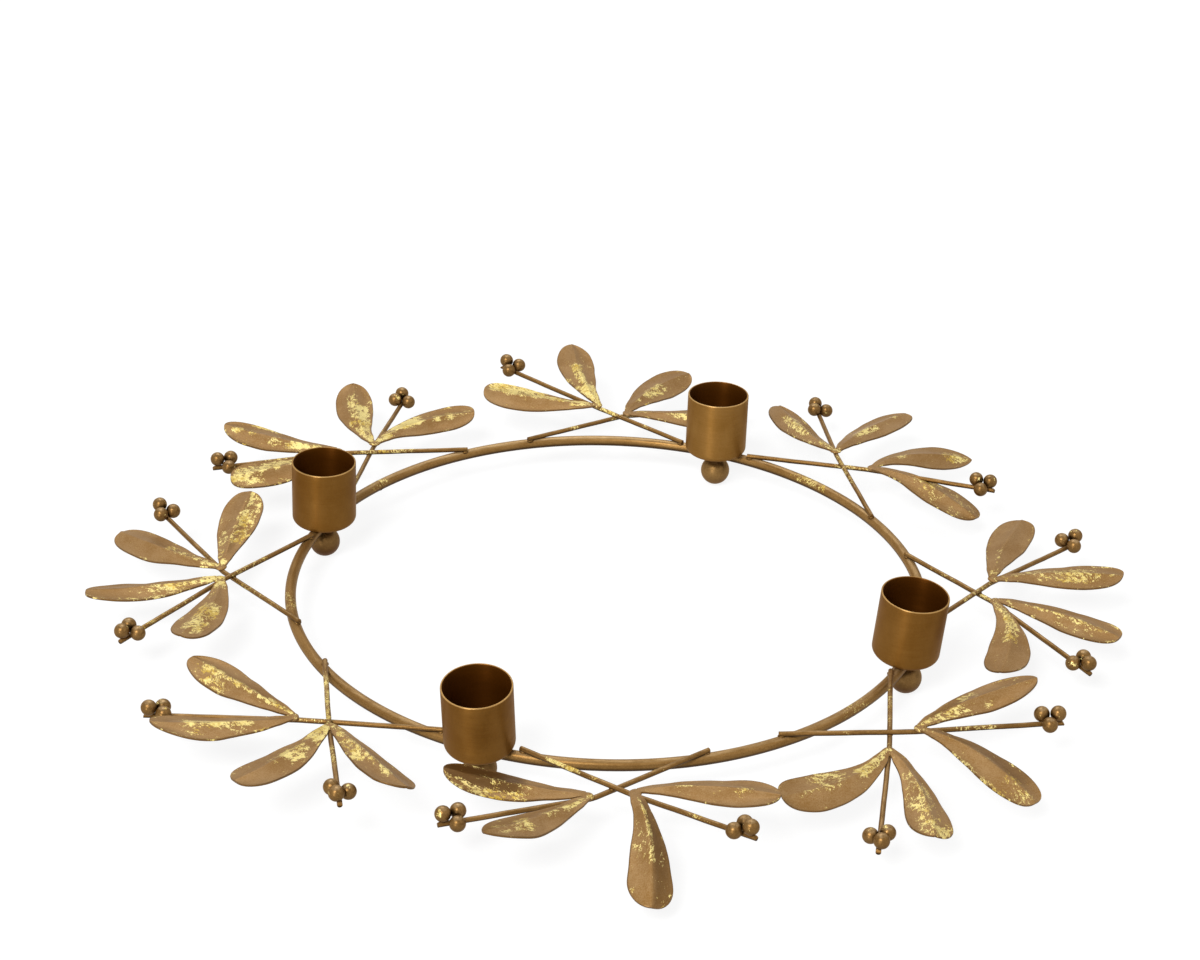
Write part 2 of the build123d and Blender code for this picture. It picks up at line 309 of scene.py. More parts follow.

# Leaves with a patch of painted shade, given like a streak of gilding: the painted shadow of the cup beside
# 7 lower right, and painted shade on the half of the fold turned from the light on the others
PAINTED_SHADOWS = {
    "7 lower right": (0.5, 1, -0.2, 0.7, 0.75),
    "7 upper right": (0.15, 1, 0.6, 0.35, 0.5),
    "8 upper right": (0.1, 0.85, 0.62, 0.4, 0.45),
}

# Gilding along each wire: from and to, counted 0 at the cut end, 1 at the leaves and 2 at the berries,
# and density
WIRE_GILDING = {
    "1 lower": ((0.3, 0.6, 0.5), (0.8, 1.1, 0.6)),
    "1 upper": ((0.6, 1.1, 0.6),),
    "2 lower": ((0.7, 1.1, 0.6),),
    "2 upper": ((0.5, 1.2, 0.6),),
    "3 lower": ((0.4, 0.55, 0.6), (0.85, 1.1, 0.7)),
    "3 upper": ((0.4, 0.5, 0.5), (0.75, 1.1, 0.8)),
    "4 lower": ((0.1, 0.5, 0.5), (1.1, 1.4, 0.45)),
    "4 upper": ((0.4, 0.9, 0.7), (1.4, 1.7, 0.6)),
    "5 lower": ((0.2, 0.9, 0.42), (1.1, 1.3, 0.4)),
    "5 upper": ((0.5, 0.95, 0.5), (1.3, 1.9, 0.5)),
    "6 lower": ((0.75, 1.0, 0.5),),
    "6 upper": ((0.2, 1.1, 0.7), (1.3, 1.6, 0.65)),
    "7 lower": ((0.4, 0.5, 0.5),),
    "7 upper": ((0.25, 0.55, 0.9), (0.65, 0.72, 0.8), (1.5, 1.7, 0.6)),
    "8 lower": ((0.2, 0.7, 0.48), (0.9, 1.1, 0.5)),
    "8 upper": ((0.45, 0.55, 0.5), (1.3, 1.6, 0.6)),
}

# Gilding on the rod, as ring angles from and to, and density
ROD_GILDING = ((42, 51, 0.56), (139, 145, 0.5), (186, 193, 0.48), (314, 322, 0.48))

# Where the rod carries less or more painted highlight than elsewhere: painted shade on its left and painted
# light at its back, as ring angles from and to, and how much
ROD_LIGHT_SHIFTS = ((165, 212, -0.2), (60, 140, 0.1))


def polar(angle, radius, height):
    """Point at a ring angle, a radius from the ring's axis and a height above the floor."""
    return Vector((radius * cos(radians(angle)), radius * sin(radians(angle)), height))


def aim(heading, rise):
    """Unit direction with a compass heading in plan and a rise above level, both in degrees."""
    level = cos(radians(rise))
    return Vector((level * cos(radians(heading)), level * sin(radians(heading)), sin(radians(rise))))


def crossing(foot, root, other_foot, other_root):
    """Share of the plan line foot-root at which it meets the line of the other stem."""
    along = root - foot
    other = other_root - other_foot
    gap = other_foot - foot
    return (gap.x * other.y - gap.y * other.x) / (along.x * other.y - along.y * other.x)


def clamp(value):
    return min(1.0, max(0.0, value))


def ease(share):
    """0 up to 0 and 1 from 1 on, with a smooth rise between."""
    held = clamp(share)
    return held * held * (3 - 2 * held)


def window(value, start, end, fade):
    """1 between start and end, falling smoothly to 0 over the fade on either side."""
    return ease((value - start) / fade + 0.5) * ease((end - value) / fade + 0.5)


# Socket types of node groups
FLOAT = "NodeSocketFloat"
INTEGER = "NodeSocketInt"
VECTOR = "NodeSocketVector"
COLOUR = "NodeSocketColor"
GEOMETRY = "NodeSocketGeometry"
MATERIAL = "NodeSocketMaterial"


def node(tree, kind, inputs=None, **settings):
    """Add a node, set its options, then set or link its inputs by name or number."""
    made = tree.nodes.new(kind)
    for key, value in settings.items():
        setattr(made, key, value)
    for key, value in (inputs or {}).items():
        if isinstance(value, bpy.types.NodeSocket):
            tree.links.new(value, made.inputs[key])
        else:
            made.inputs[key].default_value = value
    return made


def output(tree, kind, inputs=None, **settings):
    return node(tree, kind, inputs, **settings).outputs[0]


def maths(tree, operation, first, second=0.0):
    return output(tree, "ShaderNodeMath", {0: first, 1: second}, operation=operation)


def plus_share(tree, value, other, share):
    """A value plus a share of another."""
    return maths(tree, "ADD", value, maths(tree, "MULTIPLY", other, share))


def vector_maths(tree, operation, first, second):
    return output(tree, "ShaderNodeVectorMath", {0: first, 1: second}, operation=operation)


def smooth_step(tree, value, low, high):
    step = node(tree, "ShaderNodeMapRange", {0: value, 1: low, 2: high}, interpolation_type="SMOOTHSTEP")
    return step.outputs[0]


def mix_colour(tree, factor, first, second):
    return node(tree, "ShaderNodeMix", {0: factor, 6: first, 7: second}, data_type="RGBA").outputs[2]


def cloud(tree, place, scale, detail=3.0, roughness=0.55, distortion=0.0):
    values = {"Vector": place, "Scale": scale, "Detail": detail}
    values.update({"Roughness": roughness, "Distortion": distortion})
    return output(tree, "ShaderNodeTexNoise", values)


def new_group(name, kind, inputs, outputs):
    """A node group with named sockets. Returns the tree, its given values by name and its output node."""
    tree = bpy.data.node_groups.new(name, kind)
    for label, socket, default in inputs:
        made = tree.interface.new_socket(label, in_out="INPUT", socket_type=socket)
        if default is not None:
            made.default_value = default
    for label, socket in outputs:
        tree.interface.new_socket(label, in_out="OUTPUT", socket_type=socket)
    given = {value.name: value for value in tree.nodes.new("NodeGroupInput").outputs}
    return tree, given, tree.nodes.new("NodeGroupOutput")


def give(tree, result, **values):
    """Link values to a group's outputs by name."""
    for label, value in values.items():
        tree.links.new(value, result.inputs[label])


def blank_tree(owner):
    """The emptied node tree of a new material or world."""
    owner.use_nodes = True
    owner.node_tree.nodes.clear()
    return owner.node_tree


def linear(red, green, blue):
    """Linear colour of an sRGB colour given in 0 to 255."""
    channels = []
    for value in (red / 255, green / 255, blue / 255):
        channels.append(value / 12.92 if value <= 0.04045 else ((value + 0.055) / 1.055) ** 2.4)
    return (*channels, 1.0)


def make_brushed_paint():
    """Hand-brushed metal paint: strokes between two tones, lighter under painted highlight and darker under
    painted shade.
    """
    tree, given, result = new_group(
        "brushed_paint",
        "ShaderNodeTree",
        (
            ("Place", VECTOR, None),
            ("Stroke Place", VECTOR, None),
            ("Light Tone", COLOUR, linear(170, 132, 84)),
            ("Dark Tone", COLOUR, linear(120, 86, 48)),
            ("Highlight Tone", COLOUR, linear(206, 168, 108)),
            ("Shade Tone", COLOUR, linear(80, 50, 18)),
            ("Roughness", FLOAT, 0.45),
            ("Grain", FLOAT, 0.7),
            ("Wear", FLOAT, 0.0),
            ("Shade", FLOAT, 0.0),
        ),
        (("Colour", COLOUR), ("Roughness", FLOAT), ("Height", FLOAT)),
    )
    place = given["Place"]
    broad = cloud(tree, place, scale=70.0, detail=4.0, roughness=0.6)
    strokes = cloud(tree, given["Stroke Place"], scale=700.0, detail=4.0, roughness=0.65)
    grain = cloud(tree, place, scale=2200.0, detail=2.0, roughness=0.6)
    uneven = maths(tree, "SUBTRACT", strokes, 0.5)
    coarse = plus_share(tree, maths(tree, "MULTIPLY", broad, 0.7), strokes, 0.3)
    blend = plus_share(tree, coarse, maths(tree, "SUBTRACT", grain, 0.5), given["Grain"])
    tone = smooth_step(tree, blend, 0.3, 0.7)
    colour = mix_colour(tree, tone, given["Dark Tone"], given["Light Tone"])
    # Painted shade, then a painted highlight, each broken up by the brush strokes
    shaded = smooth_step(tree, plus_share(tree, given["Shade"], uneven, 0.3), 0.05, 0.95)
    colour = mix_colour(tree, shaded, colour, given["Shade Tone"])
    highlit = smooth_step(tree, plus_share(tree, given["Wear"], uneven, 0.5), 0.3, 0.8)
    colour = mix_colour(tree, highlit, colour, given["Highlight Tone"])
    dull = plus_share(tree, given["Roughness"], uneven, 0.3)
    roughness = plus_share(tree, dull, highlit, -0.08)
    height = plus_share(tree, maths(tree, "MULTIPLY", strokes, 0.7), grain, 0.3)
    give(tree, result, Colour=colour, Roughness=roughness, Height=height)
    return tree


# Gold flakes: slant of the tears in degrees, and how far they are drawn out
FLAKE_SLANT = -28.0
FLAKE_DRAW = (1.5, 0.75, 1.0)

# How high the summed noise has to be for gold where there is no gilding, and how far gilding lowers that
FLAKE_LEVEL = 1.4
FLAKE_GAIN = 0.42


def make_gold_flakes():
    """Torn flakes of brighter gold where the gilding is dense: mask, colour and height."""
    tree, given, result = new_group(
        "gold_flakes",
        "ShaderNodeTree",
        (
            ("Place", VECTOR, None),
            ("Density", FLOAT, 0.0),
            ("Light Tone", COLOUR, linear(244, 224, 146)),
            ("Dark Tone", COLOUR, linear(202, 167, 66)),
        ),
        (("Mask", FLOAT), ("Colour", COLOUR), ("Height", FLOAT)),
    )
    place = given["Place"]
    density = given["Density"]
    turn = {"Vector": place, "Angle": radians(FLAKE_SLANT)}
    slanted = output(tree, "ShaderNodeVectorRotate", turn, rotation_type="Z_AXIS")
    drawn = vector_maths(tree, "MULTIPLY", slanted, FLAKE_DRAW)
    patches = maths(tree, "MULTIPLY", cloud(tree, place, scale=200.0, detail=2.0), 0.5)
    tears = cloud(tree, drawn, scale=520.0, detail=5.0, roughness=0.7, distortion=0.5)
    crumbs = cloud(tree, drawn, scale=2100.0, detail=2.0, roughness=0.6)
    ragged = plus_share(tree, plus_share(tree, patches, tears, 1.1), crumbs, 0.6)
    level = plus_share(tree, maths(tree, "SUBTRACT", ragged, FLAKE_LEVEL), density, FLAKE_GAIN)
    torn_edge = smooth_step(tree, level, 0.0, 0.03)
    mask = maths(tree, "MULTIPLY", torn_edge, smooth_step(tree, density, 0.02, 0.1))
    sheen = cloud(tree, place, scale=90.0, detail=1.0)
    glint = maths(tree, "ADD", sheen, cloud(tree, drawn, scale=800.0, detail=3.0))
    tone = smooth_step(tree, glint, 0.72, 1.08)
    colour = mix_colour(tree, tone, given["Dark Tone"], given["Light Tone"])
    give(tree, result, Mask=mask, Colour=colour, Height=maths(tree, "MULTIPLY", mask, crumbs))
    return tree


BRUSHED_PAINT = make_brushed_paint()
GOLD_FLAKES = make_gold_flakes()
TONE_LABELS = ("Light Tone", "Dark Tone", "Highlight Tone", "Shade Tone")
PAINT_TINT = linear(226, 194, 142)
FLAKE_RELIEF = 1.5


def surface_value(tree, name, part="Fac"):
    """A value that the piece's mesh carries."""
    return node(tree, "ShaderNodeAttribute", attribute_name=name).outputs[part]


def make_finish(name, tones, roughness, metallic, gloss, strokes, grain=0.7, flakes=0.0, spun=0.0):
    """Painted metal from light and dark tones, with tones for painted highlight and painted shade. Strokes
    stretch the brush marks along the piece. Flakes say how fine the gilding tears, 0 for none. Spun metal
    draws its gloss out across the fine rings of the lathe."""
    material = bpy.data.materials.new(name)
    tree = blank_tree(material)
    along = surface_value(tree, "brush_place", "Vector")
    values = {
        "Place": node(tree, "ShaderNodeTexCoord").outputs["Object"],
        "Stroke Place": vector_maths(tree, "MULTIPLY", along, strokes),
        "Roughness": roughness,
        "Grain": grain,
        "Wear": surface_value(tree, "wear"),
        "Shade": surface_value(tree, "shade"),
    }
    for label, tone in zip(TONE_LABELS, tones):
        values[label] = linear(*tone)
    paint = node(tree, "ShaderNodeGroup", values, node_tree=BRUSHED_PAINT)
    colour = paint.outputs["Colour"]
    height = paint.outputs["Height"]
    if flakes:
        torn = vector_maths(tree, "MULTIPLY", along, (flakes, flakes, flakes))
        values = {"Place": torn, "Density": surface_value(tree, "gilding")}
        gold = node(tree, "ShaderNodeGroup", values, node_tree=GOLD_FLAKES)
        colour = mix_colour(tree, gold.outputs["Mask"], colour, gold.outputs["Colour"])
        height = plus_share(tree, height, gold.outputs["Height"], FLAKE_RELIEF)
    bump = node(tree, "ShaderNodeBump", {"Strength": 0.25, "Distance": 0.1 * MM, "Height": height})
    values = {
        "Base Color": colour,
        "Roughness": paint.outputs["Roughness"],
        "Metallic": metallic,
        "Specular IOR Level": gloss,
        "Specular Tint": PAINT_TINT,
        "Normal": bump.outputs["Normal"],
    }
    if spun:
        values["Anisotropic"] = spun
        values["Tangent"] = output(tree, "ShaderNodeTangent", direction_type="UV_MAP", uv_map="wrap")
    shader = node(tree, "ShaderNodeBsdfPrincipled", values)
    node(tree, "ShaderNodeOutputMaterial", {"Surface": shader.outputs[0]})
    return material


# Light and dark tone of each finish, and its tones of painted highlight and painted shade
ROD_TONES = ((146, 111, 64), (124, 90, 46), (202, 170, 124), (50, 31, 9))
TWIG_TONES = ((132, 97, 52), (106, 75, 36), (200, 166, 118), (46, 28, 8))
CUP_TONES = ((125, 87, 38), (111, 73, 24), (178, 140, 86), (86, 45, 5))
# The back cup gets a lighter copy of the cup tones: painted light
LIT_CUP_TONES = ((144, 105, 53), (128, 89, 36), (188, 150, 96), (86, 45, 5))
BERRY_TONES = ((126, 94, 53), (104, 75, 37), (212, 182, 138), (46, 29, 9))
BALL_TONES = ((140, 107, 62), (118, 87, 46), (206, 174, 128), (72, 40, 6))
LEAF_TONES = ((161, 127, 84), (138, 101, 54), (180, 146, 94), (84, 56, 24))

# Roughness, metallic share, gloss, stretch of the brush strokes and grain of every cup
CUP_COAT = (0.42, 0.5, 0.18, (0.12, 0.12, 2.2), 0.25)

ROD_FINISH = make_finish("antique_gold_rod", ROD_TONES, 0.38, 0.4, 0.25, (0.2, 1.0, 1.0), flakes=1.6)
TWIG_FINISH = make_finish("antique_gold_twig", TWIG_TONES, 0.38, 0.4, 0.25, (0.25, 1.0, 1.0), flakes=2.0)
CUP_FINISH = make_finish("antique_gold_cup", CUP_TONES, *CUP_COAT, spun=0.8)
# Lighter copy of the cup finish for the back cup: painted light
LIT_CUP_FINISH = make_finish("antique_gold_lit_cup", LIT_CUP_TONES, *CUP_COAT, spun=0.8)
CUP_FINISHES = (LIT_CUP_FINISH, CUP_FINISH, CUP_FINISH, CUP_FINISH)
BERRY_FINISH = make_finish("antique_gold_berry", BERRY_TONES, 0.33, 0.55, 0.5, (1.0, 1.0, 1.0), flakes=1.0)
BALL_FINISH = make_finish("antique_gold_ball", BALL_TONES, 0.4, 0.55, 0.65, (1.0, 1.0, 1.0))
LEAF_FINISH = make_finish("gilded_leaf", LEAF_TONES, 0.42, 0.3, 0.5, (1.2, 0.5, 1.0), flakes=1.0)


def link_piece(name, mesh, slot, *nodes):
    """Put a finished mesh in the scene, riding on the ring's one body in place of its plain solid."""
    made = bpy.data.objects.new(name, mesh)
    bpy.context.collection.objects.link(made)
    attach(made, "root")
    if nodes:
        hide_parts(*nodes)


def new_mesh(name, points, faces, material):
    mesh = bpy.data.meshes.new(name)
    mesh.from_pydata(points, [], faces)
    mesh.materials.append(material)
    mesh.polygons.foreach_set("use_smooth", [True] * len(mesh.polygons))
    mesh.update()
    return mesh


def tube_faces(rows, steps, first=0):
    """Faces of a closed tube whose points follow row by row from the first on, with a cap at either end."""
    last = first + (rows - 1) * steps
    faces = []
    for low in range(first, last, steps):
        high = low + steps
        for step in range(steps):
            after = (step + 1) % steps
            faces.append((low + step, low + after, high + after, high + step))
    return faces + [tuple(reversed(range(first, first + steps))), tuple(range(last, last + steps))]


def set_values(mesh, name, values):
    """Store one number for each vertex."""
    mesh.attributes.new(name, "FLOAT", "POINT").data.foreach_set("value", values)


def set_places(mesh, name, places):
    """Store one vector for each vertex."""
    flat = [part for place in places for part in place]
    mesh.attributes.new(name, "FLOAT_VECTOR", "POINT").data.foreach_set("vector", flat)


# Paint on round pieces: from which slope of the surface painted shade starts below and a painted highlight
# above, and how much
SHADE_SLOPE = 0.45
SHADE_FADE = 1.1
HIGHLIGHT_SLOPE = 0.45
HIGHLIGHT_FADE = 0.45
HIGHLIGHT_MOST = 0.47
BALL_SHADE = 0.5
WELD_SHADE = 0.3


def underside(normal, most=1.0):
    """Painted shade: 0 on what faces up, rising to the most on what faces the floor."""
    return most * ease((SHADE_SLOPE - normal.z) / SHADE_FADE)


def top_highlight(normal):
    """How much painted highlight there is: only on what faces up."""
    return HIGHLIGHT_MOST * clamp((normal.z - HIGHLIGHT_SLOPE) / HIGHLIGHT_FADE)


def dress(mesh, places=None, shade=None, wear=None, gilding=None):
    """Store the place that brush marks follow, how much painted shade and painted highlight the paint
    carries, and how gilded it is.
    What isn't given is that of a plain round piece."""
    set_places(mesh, "brush_place", places or [tuple(vertex.co) for vertex in mesh.vertices])
    set_values(mesh, "shade", shade or [underside(vertex.normal) for vertex in mesh.vertices])
    set_values(mesh, "wear", wear or [top_highlight(vertex.normal) for vertex in mesh.vertices])
    set_values(mesh, "gilding", gilding or [0.0] * len(mesh.vertices))


def grow(tree, mesh, values):
    """Run a geometry tree on a starting mesh and return the finished plain mesh."""
    host = bpy.data.objects.new("host", mesh)
    bpy.context.collection.objects.link(host)
    modifier = host.modifiers.new("grow", "NODES")
    modifier.node_group = tree
    for item in tree.interface.items_tree:
        if item.in_out == "INPUT" and item.name in values:
            modifier[item.identifier] = values[item.name]
    graph = bpy.context.evaluated_depsgraph_get()
    grown = host.evaluated_get(graph)
    done = bpy.data.meshes.new_from_object(grown, preserve_all_data_layers=True, depsgraph=graph)
    bpy.data.objects.remove(host)
    return done


def new_shape_group(name, *inputs):
    """A geometry tree that takes a starting shape and a material and gives the finished shape."""
    taken = (("Geometry", GEOMETRY, None), *inputs, ("Material", MATERIAL, None))
    return new_group(name, "GeometryNodeTree", taken, (("Geometry", GEOMETRY),))


def finish_tree(tree, result, geometry, given):
    """End a geometry tree the same way each time: realized, smooth and painted."""
    solid = output(tree, "GeometryNodeRealizeInstances", {0: geometry})
    smooth = output(tree, "GeometryNodeSetShadeSmooth", {0: solid})
    painted = node(tree, "GeometryNodeSetMaterial", {0: smooth, "Material": given["Material"]})
    give(tree, result, Geometry=painted.outputs[0])


def moved(tree, geometry, offset):
    return output(tree, "GeometryNodeSetPosition", {"Geometry": geometry, "Offset": offset})


def circle(tree, radius, steps):
    return output(tree, "GeometryNodeCurvePrimitiveCircle", {"Resolution": steps, "Radius": radius})


def point_vector(tree, name):
    """A vector that each starting point carries."""
    return output(tree, "GeometryNodeInputNamedAttribute", {0: name}, data_type="FLOAT_VECTOR")


def wobble(tree, scale, size):
    """A smooth random offset that follows the position."""
    place = output(tree, "GeometryNodeInputPosition")
    values = {"Vector": place, "Scale": scale, "Detail": 1.0}
    drift = node(tree, "ShaderNodeTexNoise", values).outputs["Color"]
    centred = vector_maths(tree, "SUBTRACT", drift, (0.5, 0.5, 0.5))
    return output(tree, "ShaderNodeVectorMath", {0: centred, 3: size}, operation="SCALE")


def sweep(tree, curve, given, drift_scale, steps, caps):
    """A round section swept along a curve that strays a little."""
    bent = moved(tree, curve, wobble(tree, drift_scale, given["Unevenness"]))
    section = circle(tree, given["Radius"], steps)
    values = {"Curve": bent, "Profile Curve": section, "Fill Caps": caps}
    return output(tree, "GeometryNodeCurveToMesh", values)


def make_bent_rod_tree():
    """Round rod bent to a closed ring by hand, so never quite true."""
    tree, given, result = new_shape_group(
        "bent_rod",
        ("Ring Radius", FLOAT, RING_RADIUS),
        ("Radius", FLOAT, ROD_RADIUS),
        ("Height", FLOAT, RING_HEIGHT),
        ("Unevenness", FLOAT, 0.3 * MM),
    )
    level = output(tree, "ShaderNodeCombineXYZ", {"Z": given["Height"]})
    raised = moved(tree, circle(tree, given["Ring Radius"], steps=480), level)
    rod = sweep(tree, raised, given, drift_scale=14.0, steps=32, caps=False)
    finish_tree(tree, result, rod, given)
    return tree


def make_bent_wire_tree():
    """Round wire along a path of straight runs with rounded bends."""
    tree, given, result = new_shape_group(
        "bent_wire",
        ("Radius", FLOAT, STEM_RADIUS),
        ("Bend Radius", FLOAT, STEM_BEND),
        ("Step", FLOAT, 0.7 * MM),
        ("Unevenness", FLOAT, 0.25 * MM),
    )
    line = output(tree, "GeometryNodeMeshToCurve", {0: given["Geometry"]})
    values = {"Curve": line, "Count": 12, "Radius": given["Bend Radius"]}
    rounded = output(tree, "GeometryNodeFilletCurve", values, mode="POLY")
    values = {"Curve": rounded, "Length": given["Step"]}
    even = output(tree, "GeometryNodeResampleCurve", values, mode="LENGTH")
    wire = sweep(tree, even, given, drift_scale=90.0, steps=20, caps=True)
    finish_tree(tree, result, wire, given)
    return tree


def make_blob_tree():
    """Balls or weld beads on points: each as large as its point says, dented by a smooth random offset."""
    tree, given, result = new_shape_group(
        "blobs_on_points",
        ("Segments", INTEGER, 36),
        ("Rings", INTEGER, 18),
        ("Dent Scale", FLOAT, 300.0),
        ("Dents", FLOAT, 0.1 * MM),
    )
    values = {"Segments": given["Segments"], "Rings": given["Rings"], "Radius": 1.0}
    ball = output(tree, "GeometryNodeMeshUVSphere", values)
    points = output(tree, "GeometryNodeMeshToPoints", {0: given["Geometry"]})
    values = {"Points": points, "Instance": ball}
    values.update({"Rotation": point_vector(tree, "blob_turn"), "Scale": point_vector(tree, "blob_size")})
    spread = output(tree, "GeometryNodeInstanceOnPoints", values)
    solid = output(tree, "GeometryNodeRealizeInstances", {0: spread})
    dented = moved(tree, solid, wobble(tree, given["Dent Scale"], given["Dents"]))
    finish_tree(tree, result, dented, given)
    return tree


BENT_ROD = make_bent_rod_tree()
BENT_WIRE = make_bent_wire_tree()
BLOBS = make_blob_tree()


def points_mesh(name, blobs):
    """Loose points, one for each blob, that carry its size and its turn, given as a ring angle."""
    mesh = bpy.data.meshes.new(name)
    mesh.from_pydata([tuple(spot) for spot, size, angle in blobs], [], [])
    set_places(mesh, "blob_size", [size for spot, size, angle in blobs])
    set_places(mesh, "blob_turn", [(0, 0, radians(angle)) for spot, size, angle in blobs])
    return mesh


def lathe(name, profile, placing, material, steps):
    """Turn a profile of (radius, height) points about the local Z axis, then place it."""
    points = []
    for radius, height in profile:
        for step in range(steps):
            angle = 2 * pi * step / steps
            points.append(tuple(placing @ Vector((radius * cos(angle), radius * sin(angle), height))))
    return new_mesh(name, points, tube_faces(len(profile), steps), material)


def wrap(mesh, steps, rows):
    """A UV map that runs along the profile and then around the turned piece."""
    layer = mesh.uv_layers.new(name="wrap")
    for loop in mesh.loops:
        row, step = divmod(loop.vertex_index, steps)
        layer.data[loop.index].uv = (row / rows, step / steps)


def arc(centre_r, centre_z, radius, start, end, steps):
    """Profile points on an arc, with angles in degrees from the radial direction."""
    found = []
    for step in range(steps + 1):
        angle = radians(start + (end - start) * step / steps)
        found.append((centre_r + radius * cos(angle), centre_z + radius * sin(angle)))
    return found


# How steep the rod's top may be where flakes of gold stay
ROD_FLAKE_SLOPE = 0.1


def build_ring():
    rod = grow(BENT_ROD, bpy.data.meshes.new("rod_start"), {"Material": ROD_FINISH})
    gilding = []
    places = []
    wear = []
    for vertex in rod.vertices:
        angle = degrees(atan2(vertex.co.y, vertex.co.x)) % 360
        dense = max(power * window(angle, start, end, fade=3.0) for start, end, power in ROD_GILDING)
        gilding.append(dense if vertex.normal.z > ROD_FLAKE_SLOPE else 0.0)
        places.append((radians(angle) * RING_RADIUS, hypot(vertex.co.x, vertex.co.y), vertex.co.z))
        # Painted highlight on top, lowered on the left as painted shade and raised at the back as painted
        # light
        light_shift = sum(more * window(angle, start, end, fade=25.0) for start, end, more in ROD_LIGHT_SHIFTS)
        wear.append(top_highlight(vertex.normal) + light_shift)
    dress(rod, places, wear=wear, gilding=gilding)
    link_piece("rod_ring", rod, "rod_paint", "ring")


def build_feet():
    low = degrees(asin(-BALL_HEIGHT / BALL_RADIUS))
    profile = arc(0, BALL_HEIGHT, BALL_RADIUS, low, BALL_TOP, steps=40)
    for number, (angle, cup_shadow) in enumerate(zip(CUP_ANGLES, BALL_CUP_SHADOWS), start=1):
        placing = Matrix.Translation(polar(angle, RING_RADIUS, 0))
        ball = lathe(f"foot_ball_{number}", profile, placing, BALL_FINISH, steps=64)
        # Painted shadow of the cup above, and painted shade on the ball's underside
        dress(ball, shade=[cup_shadow + underside(vertex.normal, BALL_SHADE) for vertex in ball.vertices])
        link_piece(f"foot_ball_{number}", ball, "rod_paint", f"ball_foot_{number}")


# Mesh of a cup: steps around it and over its lip, and shares across its bottom
CUP_STEPS = 96
LIP_STEPS = 8
BOTTOM_SHARES = (0.2 / 6, 1 / 6, 2 / 6, 3 / 6, 4 / 6, 5 / 6)

# Paint on a cup: a painted highlight on the lip, and painted shade at the bottom edge, at the mouth of the
# bore, and added down to its bottom
LIP_HIGHLIGHT = 0.7
CORNER_SHADE = 0.5
BORE_SHADE = 0.8
DEPTH_SHADE = 0.5


def wall(radius, start, end, steps=14):
    """Profile points between two heights on an upright wall."""
    return [(radius, start + (end - start) * step / steps) for step in range(1, steps)]


def cup_profile():
    """Half section of a cup: bottom, rounded edge, wall, rolled lip, inside wall and inside bottom.
    Also the number of the profile's point at which the outside ends."""
    inner_corner = CUP_CORNER - CUP_WALL
    lip = CUP_WALL / 2
    high = CUP_HEIGHT - lip
    outer_edge = CUP_RADIUS - CUP_CORNER
    profile = [(outer_edge * share, 0.0) for share in BOTTOM_SHARES]
    profile += arc(outer_edge, CUP_CORNER, CUP_CORNER, -90, 0, steps=12)
    profile += wall(CUP_RADIUS, CUP_CORNER, high)
    profile += arc(CUP_RADIUS - lip, high, lip, 0, 180, LIP_STEPS)
    outside = len(profile) - LIP_STEPS // 2
    low = CUP_BOTTOM + inner_corner
    inner_edge = CUP_BORE_RADIUS - inner_corner
    profile += wall(CUP_BORE_RADIUS, high, low)
    profile += arc(inner_edge, low, inner_corner, 0, -90, steps=10)
    profile += [(inner_edge * share, CUP_BOTTOM) for share in reversed(BOTTOM_SHARES)]
    return profile, outside


def build_cups():
    profile, outside = cup_profile()
    lip_start = outside - LIP_STEPS // 2
    cups = zip(CUP_ANGLES, CUP_LEANS, CUP_SETBACKS, CUP_FINISHES)
    for number, (angle, lean, setback, finish) in enumerate(cups, start=1):
        placing = (
            Matrix.Rotation(radians(angle), 4, "Z")
            @ Matrix.Translation((RING_RADIUS, 0, RING_HEIGHT))
            @ Matrix.Rotation(radians(lean), 4, "Y")
            @ Matrix.Translation((-setback, 0, ROD_RADIUS - WELD_BED))
        )
        cup = lathe(f"cup_{number}", profile, placing, finish, CUP_STEPS)
        shade = []
        wear = []
        for row, (radius, height) in enumerate(profile):
            if row <= outside:
                dark = CORNER_SHADE * clamp(1 - height / CUP_CORNER)
            else:
                dark = clamp(BORE_SHADE + DEPTH_SHADE * (CUP_HEIGHT - height) / CUP_HEIGHT)
            shade += [dark] * CUP_STEPS
            # Painted highlight on the lip
            wear += [LIP_HIGHLIGHT if lip_start <= row <= outside else 0.0] * CUP_STEPS
        dress(cup, shade=shade, wear=wear)
        wrap(cup, CUP_STEPS, len(profile))
        link_piece(f"cup_{number}", cup, "cup_paint", f"candle_cup_{number}")


class Twig:
    """Where a stem runs: its cut end, leaf root, heading, outer direction and the seat of its leaves."""

    def __init__(self, stem, foot, root):
        inner = root - foot
        self.stem = stem
        self.foot = foot
        self.root = root
        self.heading = degrees(atan2(inner.y, inner.x)) + stem.turn
        self.outward = aim(self.heading, stem.lift)
        self.left = Vector((-sin(radians(self.heading)), cos(radians(self.heading)), 0))
        self.seat = self.outward.cross(self.left).normalized()
        self.tip = root + self.outward * (STEM_OUTER + STEM_TIP)
        self.leaf_base = root + self.outward * ROOT_PLACE + self.seat * (STEM_RADIUS - WELD_BED)


def lay_spray(lower, upper):
    """Both twigs of a spray and the spot where they touch. The upper one climbs just enough to cross over
    the lower one."""
    ends = []
    for stem in (lower, upper):
        ends.append(polar(stem.foot, RING_RADIUS - STEM_TAIL, STEM_HEIGHT))
        ends.append(polar(stem.root, RING_RADIUS + stem.reach * MM, STEM_HEIGHT))
    lower_foot, lower_root, upper_foot, upper_root = ends
    share = crossing(upper_foot, upper_root, lower_foot, lower_root)
    upper_root.z += (2 * STEM_RADIUS - WELD_BED) / share
    spot = upper_foot.lerp(upper_root, share) - UP * STEM_RADIUS
    return Twig(lower, lower_foot, lower_root), Twig(upper, upper_foot, upper_root), spot


